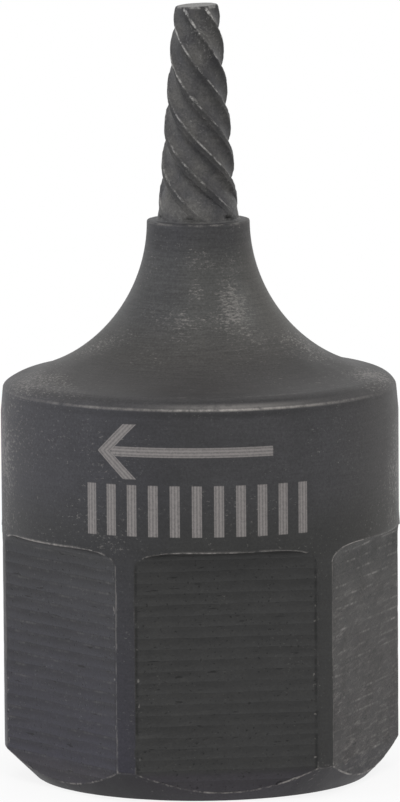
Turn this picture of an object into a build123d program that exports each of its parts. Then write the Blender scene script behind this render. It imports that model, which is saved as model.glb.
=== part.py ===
from build123d import *
import os
from math import atan2, cos, degrees, radians, sin, tan

os.makedirs("parts", exist_ok=True)

# A screw extractor, turned and milled from one steel bar, in millimetres.
# It stands on its flat drive end, with its axis on Z and the centre of that end at the origin.
# The middle of one flat faces -Y. Angles round the axis are counted from -Y towards +X.

# Hexagon, and the round body that it is milled on
across_flats = 17.0
corner_relief = 0.255  # how far the turning stays inside the hexagon's corners
flat_count = 6
flat_length = 12.09  # from the drive end to the ledge over each flat
cove_radius = 0.78  # left by the corner of the milling cutter, under the ledge
base_chamfer = 1.43  # at 45 degrees, round the drive end

# Band, shoulder, neck and collar
band_height = 6.78  # from the ledge to the edge under the shoulder
band_taper_length = 1.2  # below that edge, where the band draws in a little
band_taper_depth = 0.11
shoulder_radius = 1.02
shoulder_start_angle = 26.5  # lean of the shoulder where it starts at the band's edge
neck_height = 7.93  # from the band's edge to the edge of the collar
collar_diameter = 4.94
collar_chamfer = 0.05

# Fluted tip
tip_length = 10.35
tip_root_diameter = 3.93
tip_end_diameter = 2.24
tip_end_chamfer = 0.22
tip_lead_length = 1.6  # last stretch of the tip, which narrows faster
tip_lead_depth = 0.06
tip_root_flare = 0.08  # at 45 degrees, where the tip meets the collar
flute_count = 6
flute_lead = 10.6  # for one whole turn, left-hand
flute_depth_at_root = 0.42
flute_depth_at_end = 0.23
ridge_land_depth = 0.03  # taken off the sharp edge of each ridge by the turned blank
ridge_angle_at_end = 13.6  # where one ridge stands on the end face
plain_root_length = 0.55  # between the collar and the first bite of the flutes
run_out_length = 1.2  # over which the cutter leaves the metal
run_out_sink = 0.05  # how far the run-out starts under the bottom of the flutes

# Square drive socket
drive_square = 9.6
drive_corner_radius = 0.4
drive_depth = 12.0
drive_lead_in = 0.5
detent_height = 5.5  # middle of the groove that takes the drive's spring ball
detent_floor_width = 1.0
detent_depth = 0.45  # its sides slope at 45 degrees
pilot_diameter = 9.0  # of the drill that leaves its point in the socket's end
drill_point_angle = 118.0

# Heights and radii that follow from the sizes
body_radius = across_flats / 2 / cos(radians(180 / flat_count)) - corner_relief
band_top = flat_length + band_height
collar_edge = band_top + neck_height
collar_top = collar_edge + collar_chamfer
tip_top = collar_top + tip_length
collar_radius = collar_diameter / 2
overlap = 0.5  # how far one form reaches into the next, so that they join


def on_slope(height, at_root, at_end):
    """Value at a height of the tip that changes evenly from the collar to the end face."""
    share = (height - collar_top) / tip_length
    return at_root + (at_end - at_root) * share


def ridge_radius(height):
    """Radius of the turned cone that holds the ridges of the tip."""
    return on_slope(height, tip_root_diameter, tip_end_diameter) / 2


def flute_radius(height):
    """Radius of the bottom of the flutes."""
    return ridge_radius(height) - on_slope(height, flute_depth_at_root, flute_depth_at_end)


# The shoulder's arc ends where it meets the neck's arc. The neck's arc is upright at the collar,
# so its radius follows from where its two ends lie.
band_edge_radius = body_radius - band_taper_depth
start_angle = radians(shoulder_start_angle)
shoulder_centre_radius = band_edge_radius - shoulder_radius * cos(start_angle)
shoulder_centre_height = band_top - shoulder_radius * sin(start_angle)
reach = shoulder_centre_radius - collar_radius
rise = collar_edge - shoulder_centre_height
neck_radius = (reach**2 + rise**2 - shoulder_radius**2) / (2 * (shoulder_radius + reach))
meeting_angle = degrees(atan2(rise, collar_radius + neck_radius - shoulder_centre_radius))

# Turned body, from the drive end to the flat top of the collar
with BuildPart() as turned_body:
    with BuildSketch(Plane.XZ):
        with BuildLine():
            foot = Polyline(
                (0, 0),
                (body_radius - base_chamfer, 0),
                (body_radius, base_chamfer),
                (body_radius, band_top - band_taper_length),
                (band_edge_radius, band_top),
            )
            shoulder_start = (-sin(start_angle), cos(start_angle))
            shoulder_turn = meeting_angle - shoulder_start_angle
            shoulder = JernArc(foot @ 1, shoulder_start, shoulder_radius, shoulder_turn)
            neck = TangentArc(shoulder @ 1, (collar_radius, collar_edge), tangent=shoulder % 1)
            Polyline(
                neck @ 1,
                (collar_radius - collar_chamfer, collar_top),
                (0, collar_top),
                (0, 0),
            )
        make_face()
    revolve(axis=Axis.Z)

# What the milling cutter clears over one flat, up to the ledge
with BuildPart() as flat_cut:
    with BuildSketch(Plane.YZ):
        with BuildLine():
            flat_face = across_flats / 2
            cut_side = body_radius + overlap
            wall = Polyline(
                (-cut_side, flat_length),
                (-cut_side, -overlap),
                (-flat_face, -overlap),
                (-flat_face, flat_length - cove_radius),
            )
            cove = JernArc(wall @ 1, (0, 1), cove_radius, 90)
            Line(cove @ 1, wall @ 0)
        make_face()
    extrude(amount=across_flats / 2, both=True)

# Square socket in the drive end, with its drilled bottom and its detent groove
with BuildPart() as drive_socket:
    with BuildSketch(Plane.XY.offset(-overlap)):
        RectangleRounded(drive_square, drive_square, drive_corner_radius)
    extrude(amount=overlap + drive_depth)
    with BuildSketch(Plane.XZ):
        with BuildLine():
            pilot_radius = pilot_diameter / 2
            Polyline(
                (0, -overlap),
                (pilot_radius, -overlap),
                (pilot_radius, drive_depth),
                (0, drive_depth + pilot_radius / tan(radians(drill_point_angle / 2))),
                (0, -overlap),
            )
        make_face()
    revolve(axis=Axis.Z)
    with BuildSketch(Plane.XZ):
        with Locations((drive_square / 2, detent_height)):
            cutter_width = detent_floor_width + 4 * detent_depth
            Trapezoid(cutter_width, 2 * detent_depth, 45, rotation=-90)
    revolve(axis=Axis.Z)

# Twisted form of the tip: one section with a concave arc for each flute, turned and narrowed
# from height to height. Its ridges stand a little proud of the turned blank, which trims them.
form_bottom = collar_top - overlap
form_length = tip_length + 2 * overlap
flute_step = 360 / flute_count
sections_per_step = 2.5  # more than two, so that the loft winds the right way round
section_count = round(form_length * 360 / flute_lead / flute_step * sections_per_step)


def fluted_section(height):
    """Face of the fluted form at a height."""
    ridge_angle = ridge_angle_at_end + (tip_top - height) * 360 / flute_lead
    section_plane = Plane.XY.offset(height).rotated((0, 0, ridge_angle - 90))
    proud_radius = ridge_radius(height) + ridge_land_depth
    with BuildSketch(section_plane) as section:
        with BuildLine():
            for flute in range(flute_count):
                start, middle, end = (flute + share for share in (0, 0.5, 1))
                ThreePointArc(
                    Vector(proud_radius, 0).rotate(Axis.Z, start * flute_step),
                    Vector(flute_radius(height), 0).rotate(Axis.Z, middle * flute_step),
                    Vector(proud_radius, 0).rotate(Axis.Z, end * flute_step),
                )
        make_face()
    return section.sketch.face()


with BuildPart() as fluted_tip:
    steps = range(section_count + 1)
    loft([fluted_section(form_bottom + form_length * step / section_count) for step in steps])
    # The metal that the cutter leaves at the root, with the ramp on which each flute runs out
    with BuildSketch(Plane.XZ):
        with BuildLine():
            run_out_foot = collar_top + plain_root_length
            run_out_top = run_out_foot + run_out_length
            ramp_start = (flute_radius(run_out_top) - run_out_sink, run_out_top)
            ramp_foot = (ridge_radius(run_out_foot), run_out_foot)
            ramp = Line(ramp_start, ramp_foot)
            ramp_end = ramp @ 1 + (ramp % 1) * overlap
            Polyline(
                ramp_foot,
                ramp_end,
                (ramp_end.X, form_bottom),
                (0, form_bottom),
                (0, run_out_top),
                ramp_start,
            )
        make_face()
    revolve(axis=Axis.Z)
    # The turned blank trims the ridges, and gives the tip its taper, its lead and its chamfer
    with BuildSketch(Plane.XZ):
        with BuildLine():
            blank_bottom = collar_top - overlap / 2
            flare_radius = ridge_radius(collar_top) + tip_root_flare
            flare_top = collar_top + tip_root_flare
            lead_start = tip_top - tip_lead_length
            chamfer_height = tip_top - tip_end_chamfer
            chamfer_radius = ridge_radius(chamfer_height) - tip_lead_depth
            Polyline(
                (0, blank_bottom),
                (flare_radius, blank_bottom),
                (flare_radius, collar_top),
                (ridge_radius(flare_top), flare_top),
                (ridge_radius(lead_start), lead_start),
                (chamfer_radius, chamfer_height),
                (chamfer_radius - tip_end_chamfer, tip_top),
                (0, tip_top),
                (0, blank_bottom),
            )
        make_face()
    revolve(axis=Axis.Z, mode=Mode.INTERSECT)

# The whole tool
with BuildPart() as screw_extractor:
    add(turned_body.part)
    with PolarLocations(0, flat_count):
        add(flat_cut.part, mode=Mode.SUBTRACT)
    add(fluted_tip.part)
    add(drive_socket.part, mode=Mode.SUBTRACT)
    drive_end = screw_extractor.faces().sort_by(Axis.Z)[0]
    chamfer(drive_end.inner_wires()[0].edges(), length=drive_lead_in)

screw_extractor.part.label = "screw_extractor"
export_step(screw_extractor.part, "parts/screw_extractor.step")
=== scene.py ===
"""A screw extractor of blackened steel, standing on its drive end in plain studio light."""

import logging
import math
from contextlib import contextmanager
from dataclasses import dataclass, field
from enum import Enum
from typing import Callable, Iterator

import bpy
import numpy as np
from mathutils import Matrix, Vector


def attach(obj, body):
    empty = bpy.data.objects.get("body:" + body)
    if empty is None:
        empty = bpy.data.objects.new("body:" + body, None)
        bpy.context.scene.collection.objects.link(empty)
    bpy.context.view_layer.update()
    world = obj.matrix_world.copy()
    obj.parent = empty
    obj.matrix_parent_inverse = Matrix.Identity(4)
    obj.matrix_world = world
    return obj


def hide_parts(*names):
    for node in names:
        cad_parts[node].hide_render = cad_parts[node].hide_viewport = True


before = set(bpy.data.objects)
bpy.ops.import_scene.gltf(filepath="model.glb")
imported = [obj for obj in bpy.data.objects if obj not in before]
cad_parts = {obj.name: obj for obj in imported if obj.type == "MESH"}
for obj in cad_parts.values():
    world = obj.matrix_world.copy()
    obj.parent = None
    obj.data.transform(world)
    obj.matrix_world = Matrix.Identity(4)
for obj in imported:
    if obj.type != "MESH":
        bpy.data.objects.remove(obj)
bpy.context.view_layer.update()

MM = 0.001
SECTOR = math.pi / 3  # angle that one flat of the hexagon takes up
log = logging.getLogger("screw_extractor")

Triple = tuple[float, float, float]
Colour = tuple[float, float, float]


class Zone(Enum):
    """Zones of the tool's surface, in the order of its material slots."""

    TURNED = 0
    MILLED = 1
    FLUTED = 2
    SOCKET = 3


# Work on a mesh


def pick(piece: bpy.types.Object) -> None:
    """Selects one object, and nothing else."""
    bpy.ops.object.select_all(action="DESELECT")
    piece.select_set(True)
    bpy.context.view_layer.objects.active = piece


@contextmanager
def editing(piece: bpy.types.Object) -> Iterator[None]:
    """Edit mode on one object, as long as the block lasts."""
    pick(piece)
    bpy.ops.object.mode_set(mode="EDIT")
    yield
    bpy.ops.object.mode_set(mode="OBJECT")


def face_outward() -> None:
    """Turns every face outward, in edit mode."""
    bpy.ops.mesh.select_all(action="SELECT")
    bpy.ops.mesh.normals_make_consistent(inside=False)


def cut_away(piece: bpy.types.Object, cutter: bpy.types.Object) -> None:
    """Takes a cutter's form out of a piece, and removes the cutter."""
    modifier = piece.modifiers.new("cut", "BOOLEAN")
    modifier.operation = "DIFFERENCE"
    modifier.solver = "EXACT"
    modifier.object = cutter
    pick(piece)
    bpy.ops.object.modifier_apply(modifier=modifier.name)
    bpy.data.objects.remove(cutter)


def rows_of(items: bpy.types.bpy_prop_collection, name: str) -> np.ndarray:
    """Values of a vector property of vertices or faces, one row each."""
    flat = np.empty(len(items) * 3)
    items.foreach_get(name, flat)
    return flat.reshape(-1, 3)


def points_of(piece: bpy.types.Object) -> np.ndarray:
    """Places of a mesh's vertices, one row each."""
    return rows_of(piece.data.vertices, "co")


def put_points(piece: bpy.types.Object, points: np.ndarray) -> None:
    """Moves a mesh's vertices to new places."""
    piece.data.vertices.foreach_set("co", points.ravel())
    piece.data.update()


def put_attribute(piece: bpy.types.Object, name: str, values: np.ndarray) -> None:
    """Gives a mesh's vertices a named value each."""
    attribute = piece.data.attributes.new(name, "FLOAT", "POINT")
    attribute.data.foreach_set("value", values.astype(np.float32))


def select_points(piece: bpy.types.Object, chosen: np.ndarray) -> None:
    """Selects vertices from object mode, for the next edit."""
    mesh = piece.data
    mesh.polygons.foreach_set("select", np.zeros(len(mesh.polygons), bool))
    mesh.edges.foreach_set("select", np.zeros(len(mesh.edges), bool))
    mesh.vertices.foreach_set("select", chosen)


def radii(points: np.ndarray) -> np.ndarray:
    """Distance of each point from the tool's axis."""
    return np.hypot(points[:, 0], points[:, 1])


def angles(points: np.ndarray) -> np.ndarray:
    """Angle of each point round the tool's axis, from -Y towards +X."""
    return np.arctan2(points[:, 0], -points[:, 1])


def near(value: np.ndarray, middle: float, reach: float, full: float = 1.0) -> np.ndarray:
    """One round a value, and falling evenly to nothing at a distance from it."""
    return np.clip(full - np.abs(value - middle) / reach, 0, 1)


def rising(value: np.ndarray, start: float, length: float) -> np.ndarray:
    """Nothing up to a start, and rising evenly to one over a length."""
    return np.clip((value - start) / length, 0, 1)


def smooth(share: np.ndarray) -> np.ndarray:
    """Share from 0 to 1 with a soft start and a soft end."""
    return share * share * (3 - 2 * share)


def turn_rings(rings: list[Triple], columns: int) -> bpy.types.Object:
    """Turns a closed form on Z from a circle that is extruded from ring to ring.

    Args:
        rings: Radius, height and turn of each ring, from the lowest up.
        columns: Number of vertices in a ring.

    Returns:
        The new object, capped at both ends.
    """
    bpy.ops.object.select_all(action="DESELECT")
    radius, height, _ = rings[0]
    bpy.ops.mesh.primitive_circle_add(
        vertices=columns, radius=radius, fill_type="NGON", location=(0, 0, height)
    )
    piece = bpy.context.object
    bpy.ops.object.transform_apply(location=True)
    with editing(piece):
        bpy.ops.mesh.select_all(action="SELECT")
        grow_rings(rings)
        face_outward()
    return piece


def grow_rings(rings: list[Triple]) -> None:
    """Extrudes the selected face from ring to ring, in edit mode."""
    for (radius, height, angle), (next_radius, next_height, next_angle) in zip(rings, rings[1:]):
        rise = (0, 0, next_height - height)
        bpy.ops.mesh.extrude_region_move(TRANSFORM_OT_translate={"value": rise})
        share = next_radius / radius
        middle = (0, 0, next_height)
        bpy.ops.transform.resize(value=(share, share, 1), center_override=middle)
        if next_angle != angle:
            bpy.ops.transform.rotate(
                value=-(next_angle - angle), orient_axis="Z", center_override=middle
            )


# The tool


@dataclass
class DriveBody:
    """Turned and milled body: hexagon with its socket, band, shoulder, neck and collar."""

    across_flats: float = 17.0 * MM
    body_radius: float = 9.56 * MM
    flat_count: int = 6
    flat_length: float = 12.09 * MM
    cove_radius: float = 0.78 * MM
    cutter_width: float = 10.6 * MM
    cutter_depth: float = 2.4 * MM
    foot_radius: float = 8.04 * MM
    base_chamfer: float = 1.48 * MM
    band_top: float = 18.87 * MM
    band_taper_length: float = 1.2 * MM
    band_edge_radius: float = 9.45 * MM
    shoulder_radius: float = 1.02 * MM
    shoulder_start: float = math.radians(26.5)
    collar_edge: float = 26.8 * MM
    collar_radius: float = 2.47 * MM
    collar_chamfer: float = 0.05 * MM
    root_radius: float = 2.045 * MM
    drive_square: float = 9.6 * MM
    drive_corner: float = 0.4 * MM
    drive_depth: float = 12.0 * MM
    drive_lead_in: float = 0.5 * MM
    detent_height: float = 5.5 * MM
    detent_floor: float = 1.0 * MM
    detent_depth: float = 0.45 * MM
    pilot_radius: float = 4.5 * MM
    pilot_point: float = 0.02 * MM
    drill_point: float = math.radians(118)
    sliver: float = 0.03 * MM
    edge_ease: float = 0.048 * MM
    sharp_edge: float = math.radians(18)
    columns: int = 240
    socket_columns: int = 96

    @property
    def collar_top(self) -> float:
        """Height of the flat that the tip stands on."""
        return self.collar_edge + self.collar_chamfer

    def outline(self) -> list[Triple]:
        """Rings of the turned form, from the drive end to the foot of the tip."""
        rings = [(self.foot_radius, 0.0)]
        taper_start = self.band_top - self.band_taper_length
        for height in np.linspace(self.base_chamfer, taper_start, 14):
            rings.append((self.body_radius, height))
        rings.append((self.band_edge_radius, self.band_top))
        # The shoulder's arc and the neck's arc meet smoothly, and the neck ends upright
        middle_radius = self.band_edge_radius - self.shoulder_radius * math.cos(self.shoulder_start)
        middle_height = self.band_top - self.shoulder_radius * math.sin(self.shoulder_start)
        reach = middle_radius - self.collar_radius
        rise = self.collar_edge - middle_height
        neck_radius = reach**2 + rise**2 - self.shoulder_radius**2
        neck_radius /= 2 * (self.shoulder_radius + reach)
        meeting = math.atan2(rise, self.collar_radius + neck_radius - middle_radius)
        for angle in np.linspace(self.shoulder_start, meeting, 11)[1:]:
            rings.append((
                middle_radius + self.shoulder_radius * math.cos(angle),
                middle_height + self.shoulder_radius * math.sin(angle),
            ))
        for angle in np.linspace(meeting, 0, 45)[1:]:
            rings.append((
                self.collar_radius + neck_radius * (1 - math.cos(angle)),
                self.collar_edge - neck_radius * math.sin(angle),
            ))
        rings.append((self.collar_radius - self.collar_chamfer, self.collar_top))
        rings.append((self.root_radius, self.collar_top))
        return [(radius, height, 0.0) for radius, height in rings]

    def flat_cutter(self) -> bpy.types.Object:
        """Form that clears one flat and the cove under its ledge, at -Y."""
        below = 1.0 * MM
        straight_share = 0.75  # of the rows, and the rest go to the cove
        bpy.ops.object.select_all(action="DESELECT")
        bpy.ops.mesh.primitive_grid_add(x_subdivisions=36, y_subdivisions=64, size=1)
        cutter = bpy.context.object
        points = points_of(cutter)
        share = points[:, 1] + 0.5
        straight = self.flat_length - self.cove_radius + below
        turn = rising(share, straight_share, 1 - straight_share) * math.pi / 2
        height = np.minimum(share / straight_share, 1) * straight - below
        height += self.cove_radius * np.sin(turn)
        depth = self.across_flats / 2 + self.cove_radius * (1 - np.cos(turn))
        put_points(cutter, np.column_stack([points[:, 0] * self.cutter_width, -depth, height]))
        outward = {"value": (0, -self.cutter_depth, 0)}
        with editing(cutter):
            bpy.ops.mesh.select_all(action="SELECT")
            bpy.ops.mesh.extrude_region_move(TRANSFORM_OT_translate=outward)
            face_outward()
        return cutter

    def mill_flats(self, body: bpy.types.Object) -> None:
        """Cuts the six flats of the hexagon."""
        pattern = self.flat_cutter()
        for number in range(self.flat_count):
            pick(pattern)
            bpy.ops.object.duplicate()
            cutter = bpy.context.object
            cutter.rotation_euler = (0, 0, math.radians(360 / self.flat_count * number))
            bpy.ops.object.transform_apply(rotation=True)
            cut_away(body, cutter)
        bpy.data.objects.remove(pattern)

    def square_cutter(self) -> bpy.types.Object:
        """Form of the square socket with its lead-in, from a little under the drive end."""
        mouth = -0.5 * MM
        rings = [
            (1 + 2 * (self.drive_lead_in - mouth) / self.drive_square, mouth, 0.0),
            (1 + 2 * self.drive_lead_in / self.drive_square, 0.0, 0.0),
            (1.0, self.drive_lead_in, 0.0),
            (1.0, self.drive_depth, 0.0),
        ]
        wide = rings[0][0]
        bpy.ops.object.select_all(action="DESELECT")
        bpy.ops.mesh.primitive_plane_add(size=self.drive_square)
        square = bpy.context.object
        with editing(square):
            bpy.ops.mesh.select_all(action="SELECT")
            bpy.ops.mesh.bevel(offset=self.drive_corner, segments=6, affect="VERTICES")
            bpy.ops.mesh.select_all(action="SELECT")
            bpy.ops.transform.resize(value=(wide, wide, 1), center_override=(0, 0, 0))
            bpy.ops.transform.translate(value=(0, 0, mouth))
            grow_rings(rings)
            face_outward()
        return square

    def broach_socket(self, body: bpy.types.Object) -> None:
        """Cuts the square socket, its detent groove and the point that the pilot drill leaves."""
        start = 3.0 * MM  # of the pilot's form, under the bottom of the square
        point = self.pilot_radius / math.tan(self.drill_point / 2)
        cut_away(body, turn_rings([
            (self.pilot_radius, self.drive_depth - start, 0.0),
            (self.pilot_radius, self.drive_depth, 0.0),
            (self.pilot_point, self.drive_depth + point, 0.0),
        ], self.socket_columns))
        cut_away(body, self.square_cutter())
        slope = 2 * self.detent_depth
        rim = self.drive_square / 2 + self.detent_depth
        half = self.detent_floor / 2
        cut_away(body, turn_rings([
            (rim - slope, self.detent_height - half - slope, 0.0),
            (rim, self.detent_height - half, 0.0),
            (rim, self.detent_height + half, 0.0),
            (rim - slope, self.detent_height + half + slope, 0.0),
        ], self.socket_columns))

    def ease_edges(self, body: bpy.types.Object) -> None:
        """Rounds every sharp edge a little, and keeps the new faces in the edge attribute."""
        body.data.attributes.new("edge", "FLOAT", "FACE")
        with editing(body):
            # Slivers that the cutters left would fold over
            bpy.ops.mesh.select_all(action="SELECT")
            bpy.ops.mesh.remove_doubles(threshold=self.sliver)
            bpy.ops.mesh.select_mode(type="EDGE")
            bpy.ops.mesh.select_all(action="DESELECT")
            bpy.ops.mesh.edges_select_sharp(sharpness=self.sharp_edge)
            bpy.ops.mesh.bevel(
                offset=self.edge_ease, segments=2, affect="EDGES", clamp_overlap=False
            )
            bpy.ops.mesh.select_mode(type="FACE")
        chosen = np.empty(len(body.data.polygons), bool)
        body.data.polygons.foreach_get("select", chosen)
        share = self.edge_share(rows_of(body.data.polygons, "center"))
        edge = body.data.attributes["edge"]
        edge.data.foreach_set("value", (chosen * share).astype(np.float32))
        log.info("eased edges: %d faces", int(chosen.sum()))

    def edge_share(self, centres: np.ndarray) -> np.ndarray:
        """How much each edge is rubbed: upright ones less, and those of the front flat least."""
        height = centres[:, 2]
        around = angles(centres)
        foot_top, cove_start, band_end = 1.75 * MM, 11.3 * MM, 18.5 * MM
        ledge_reach = 0.2 * MM
        upright = np.where(np.abs(around) < 0.5, 0.15, 0.4)
        share = np.where((height > foot_top) & (height < cove_start), upright, 1.0)
        share = np.where(height < foot_top, 1.15, share)
        share = np.where(height > band_end, 0.3, share)
        ledge = np.where(around < -0.5, 1.9, np.where(around < 0.5, 1.4, 1.0))
        return np.where(np.abs(height - self.flat_length) < ledge_reach, ledge, share)

    def build(self) -> bpy.types.Object:
        """Makes the body, closed at the top by the face that the tip grows from."""
        body = turn_rings(self.outline(), self.columns)
        body.name = "extractor_bit"
        self.mill_flats(body)
        self.broach_socket(body)
        self.ease_edges(body)
        self.use_hard(body)
        return body

    def on_edge(self, body: bpy.types.Object) -> np.ndarray:
        """Which vertices belong to an eased edge."""
        value = np.empty(len(body.data.polygons), np.float32)
        body.data.attributes["edge"].data.foreach_get("value", value)
        found = np.zeros(len(body.data.vertices), bool)
        for polygon in np.flatnonzero(value > 0):
            found[list(body.data.polygons[int(polygon)].vertices)] = True
        return found

    def use_hard(self, body: bpy.types.Object) -> None:
        """Wears the edges unevenly, and rounds the shoulder off more on one side."""
        worn_side, worn_reach = math.radians(-100), math.radians(38)
        worn_height, worn_rise = 19.34 * MM, 0.46 * MM
        points = points_of(body)
        radius = radii(points)
        off = (angles(points) - worn_side + math.pi) % (2 * math.pi) - math.pi
        pull = np.exp(-((off / worn_reach) ** 2)) * (radius > 7.0 * MM)
        pull = pull * smooth(near(points[:, 2], worn_height, worn_rise))
        x, y, z = (points / MM).T
        wave = np.sin(x * 2.9 + z * 4.7) * np.sin(y * 3.3 - z * 2.1)
        wave = wave + 0.5 * np.sin(x * 7.7 + z * 9.1 + y * 8.3)
        rough = self.on_edge(body) & (radius > 7.3 * MM)
        shrink = 0.08 * MM * pull + 0.010 * MM * np.maximum(wave, 0) * rough
        points[:, :2] *= (1 - shrink / np.maximum(radius, MM))[:, None]
        points[:, 2] -= 0.07 * MM * pull
        put_points(body, points)


@dataclass(frozen=True)
class TipPlaces:
    """Where the tip's vertices lie: height, angle, nearest ridge and share of their flute."""

    height: np.ndarray
    around: np.ndarray
    ridge: np.ndarray
    off_ridge: np.ndarray  # in columns of vertices
    flute: np.ndarray


@dataclass
class FlutedTip:
    """Tapered tip with left-hand flutes, grown from the top of the collar."""

    foot: float = 26.85 * MM
    length: float = 10.35 * MM
    root_radius: float = 1.965 * MM
    end_radius: float = 1.12 * MM
    end_chamfer: float = 0.10 * MM
    end_slant: float = 0.10 * MM
    end_taper_length: float = 0.65 * MM
    end_taper_depth: float = 0.055 * MM
    lead_length: float = 1.6 * MM
    lead_depth: float = 0.06 * MM
    root_flare: float = 0.08 * MM
    flute_count: int = 6
    flute_lead: float = 10.6 * MM
    depth_at_root: float = 0.36 * MM
    depth_at_end: float = 0.23 * MM
    land_depth: float = 0.03 * MM
    land_at_root: float = math.radians(12)
    land_at_end: float = math.radians(1)
    land_start: float = 5.7 * MM  # under the end face, where the land has its full width
    land_growth: float = 4.5 * MM
    ridge_at_end: float = math.radians(13.6)
    plain_root: float = 0.12 * MM
    run_out: float = 1.75 * MM
    run_out_sink: float = 0.06 * MM
    run_out_step: float = 0.022 * MM
    heel_ease: float = 0.07 * MM
    ridge_ease: float = 0.002 * MM
    notch_depth: float = 0.09 * MM
    knock_depth: float = 0.022 * MM
    # Waves along each ridge: size, pace along the tip, and shift from ridge to ridge
    wander: tuple[Triple, ...] = (
        (0.010, 2.1, 1.7), (0.007, 5.3, 4.1), (0.009, 13.7, 2.9), (0.009, 21.3, 7.7),
    )
    knocks: tuple[Triple, ...] = ((1.0, 3.7, 2.3), (1.0, 8.9, 5.9), (0.8, 17.1, 3.1))
    # Height, reach, angle and rise of each burr
    burrs: tuple[tuple[float, float, float, float], ...] = (
        (32.78 * MM, 0.17 * MM, -0.30, 0.08 * MM), (36.38 * MM, 0.26 * MM, -0.42, 0.025 * MM),
        (36.93 * MM, 0.14 * MM, -0.68, 0.0), (36.95 * MM, 0.2 * MM, 0.30, 0.0),
    )
    rings: int = 118
    columns: int = 240

    @property
    def top(self) -> float:
        """Height of the end face."""
        return self.foot + self.length

    def ridge_angle(self, height: float) -> float:
        """Angle of the first ridge at a height, from -Y towards +X."""
        return self.ridge_at_end + (self.top - height) / self.flute_lead * 2 * math.pi

    def cone(self, height: np.ndarray) -> np.ndarray:
        """Radius of the plain cone that holds the ridges."""
        share = (height - self.foot) / self.length
        return self.root_radius + (self.end_radius - self.root_radius) * share

    def blank(self, height: np.ndarray) -> np.ndarray:
        """Radius of the turned blank, with its flare, lead and rounded end."""
        flare = np.maximum(self.foot + self.root_flare - height, 0)
        lead = np.maximum(height - (self.top - self.lead_length), 0)
        lead = lead * self.lead_depth / self.lead_length
        down = np.maximum(self.top - height, 0)
        taper = near(down, 0, self.end_taper_length) ** 1.4 * self.end_taper_depth
        end = near(down, 0, self.end_chamfer)
        rounding = self.end_chamfer * (1 - np.sqrt(1 - 0.97 * end**2))
        return self.cone(height) + flare - lead - taper - rounding

    def land(self, height: np.ndarray) -> np.ndarray:
        """Angle that the land under each ridge takes up: it widens towards the root."""
        down = self.top - height
        share = smooth(rising(down, self.land_start - self.land_growth, self.land_growth))
        return self.land_at_end + (self.land_at_root - self.land_at_end) * share

    def fluted(self, height: np.ndarray, angle: np.ndarray) -> np.ndarray:
        """Radius of the fluted form at a height and at an angle from the ridge before it."""
        cone = self.cone(height)
        share = (height - self.foot) / self.length
        ridge = cone + self.land_depth
        floor = cone - (self.depth_at_root + (self.depth_at_end - self.depth_at_root) * share)
        width = 2 * math.pi / self.flute_count - self.land(height)
        half = width / 2
        middle = (ridge**2 - floor**2) / (2 * (ridge * np.cos(half) - floor))
        hollow = middle - floor
        turn = angle - half
        reach = np.sqrt(np.maximum(hollow**2 - (middle * np.sin(turn)) ** 2, 0))
        return np.where(angle < width, middle * np.cos(turn) - reach, ridge)

    def heights(self) -> np.ndarray:
        """Heights of the rings, closer together at the rounded end."""
        plain = np.linspace(self.foot, self.top - self.end_chamfer, self.rings)
        return np.append(plain, self.top - self.end_chamfer * np.array([0.6, 0.3, 0.1, 0.0]))

    def extrude(self, body: bpy.types.Object) -> None:
        """Draws the tip out of the collar, ring by ring, turned along the flutes."""
        first = self.ridge_angle(self.foot) % (2 * math.pi / self.columns)
        rings = []
        for height in self.heights():
            turn = self.ridge_angle(height) - self.ridge_angle(self.foot) + first
            rings.append((float(self.blank(height)), float(height), turn))
        points = points_of(body)
        radius = radii(points)
        foot_ring = (np.abs(points[:, 2] - self.foot) < 1e-6) & (radius < 2.1 * MM)
        select_points(body, foot_ring)
        start = (float(radius[foot_ring].mean()), self.foot, 0.0)
        with editing(body):
            bpy.ops.mesh.select_mode(type="VERT")
            bpy.ops.mesh.select_mode(type="FACE")
            grow_rings([start] + rings)
            for _ in range(3):
                bpy.ops.mesh.inset(thickness=0.22 * MM)
            bpy.ops.mesh.poke()

    @staticmethod
    def waves(height: np.ndarray, ridge: np.ndarray, table: tuple[Triple, ...]) -> np.ndarray:
        """Unevenness along the ridges, which differs from ridge to ridge."""
        return sum(
            size * np.sin(height / MM * pace + ridge * shift) for size, pace, shift in table
        )

    def places(self, points: np.ndarray) -> TipPlaces:
        """Finds where vertices lie between the ridges, each of which wanders a little."""
        step = 2 * math.pi / self.flute_count
        height = points[:, 2]
        around = angles(points)
        turns = (around - self.ridge_angle(height)) / step
        ridge = np.round(turns)
        off_ridge = np.abs(turns - ridge) * self.columns / self.flute_count
        flute = (turns + self.waves(height, ridge, self.wander)) % 1
        return TipPlaces(height, around, ridge, off_ridge, flute)

    def milled(self, at: TipPlaces) -> np.ndarray:
        """Radius that the cutter leaves, with the ramp on which each flute runs out."""
        form = self.fluted(at.height, at.flute * 2 * math.pi / self.flute_count)
        share = rising(at.height, self.foot + self.plain_root, self.run_out)
        sink = (self.depth_at_root + self.run_out_sink) * share**2.8
        sink = sink + self.run_out_step * np.minimum(share * 5, 1)
        return np.maximum(form, np.where(share < 1, self.cone(at.height) - sink, 0))

    def notch(self, at: TipPlaces) -> np.ndarray:
        """How far a point lies in the notch that the cutter's last touch leaves in each flute."""
        middle, reach = self.foot + 0.17 * MM, 0.16 * MM
        return near(at.flute, 0.68, 0.17) * near(at.height, middle, reach)

    def burr(self, at: TipPlaces, height: float, reach: float, angle: float) -> np.ndarray:
        """How far a point lies on a burr, which stands up on a ridge near the front."""
        close = near(at.height, height, reach, 1.2) * (np.abs(at.around - angle) < 0.35)
        return close * near(at.off_ridge, 0, 3.2, 1.2)

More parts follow.
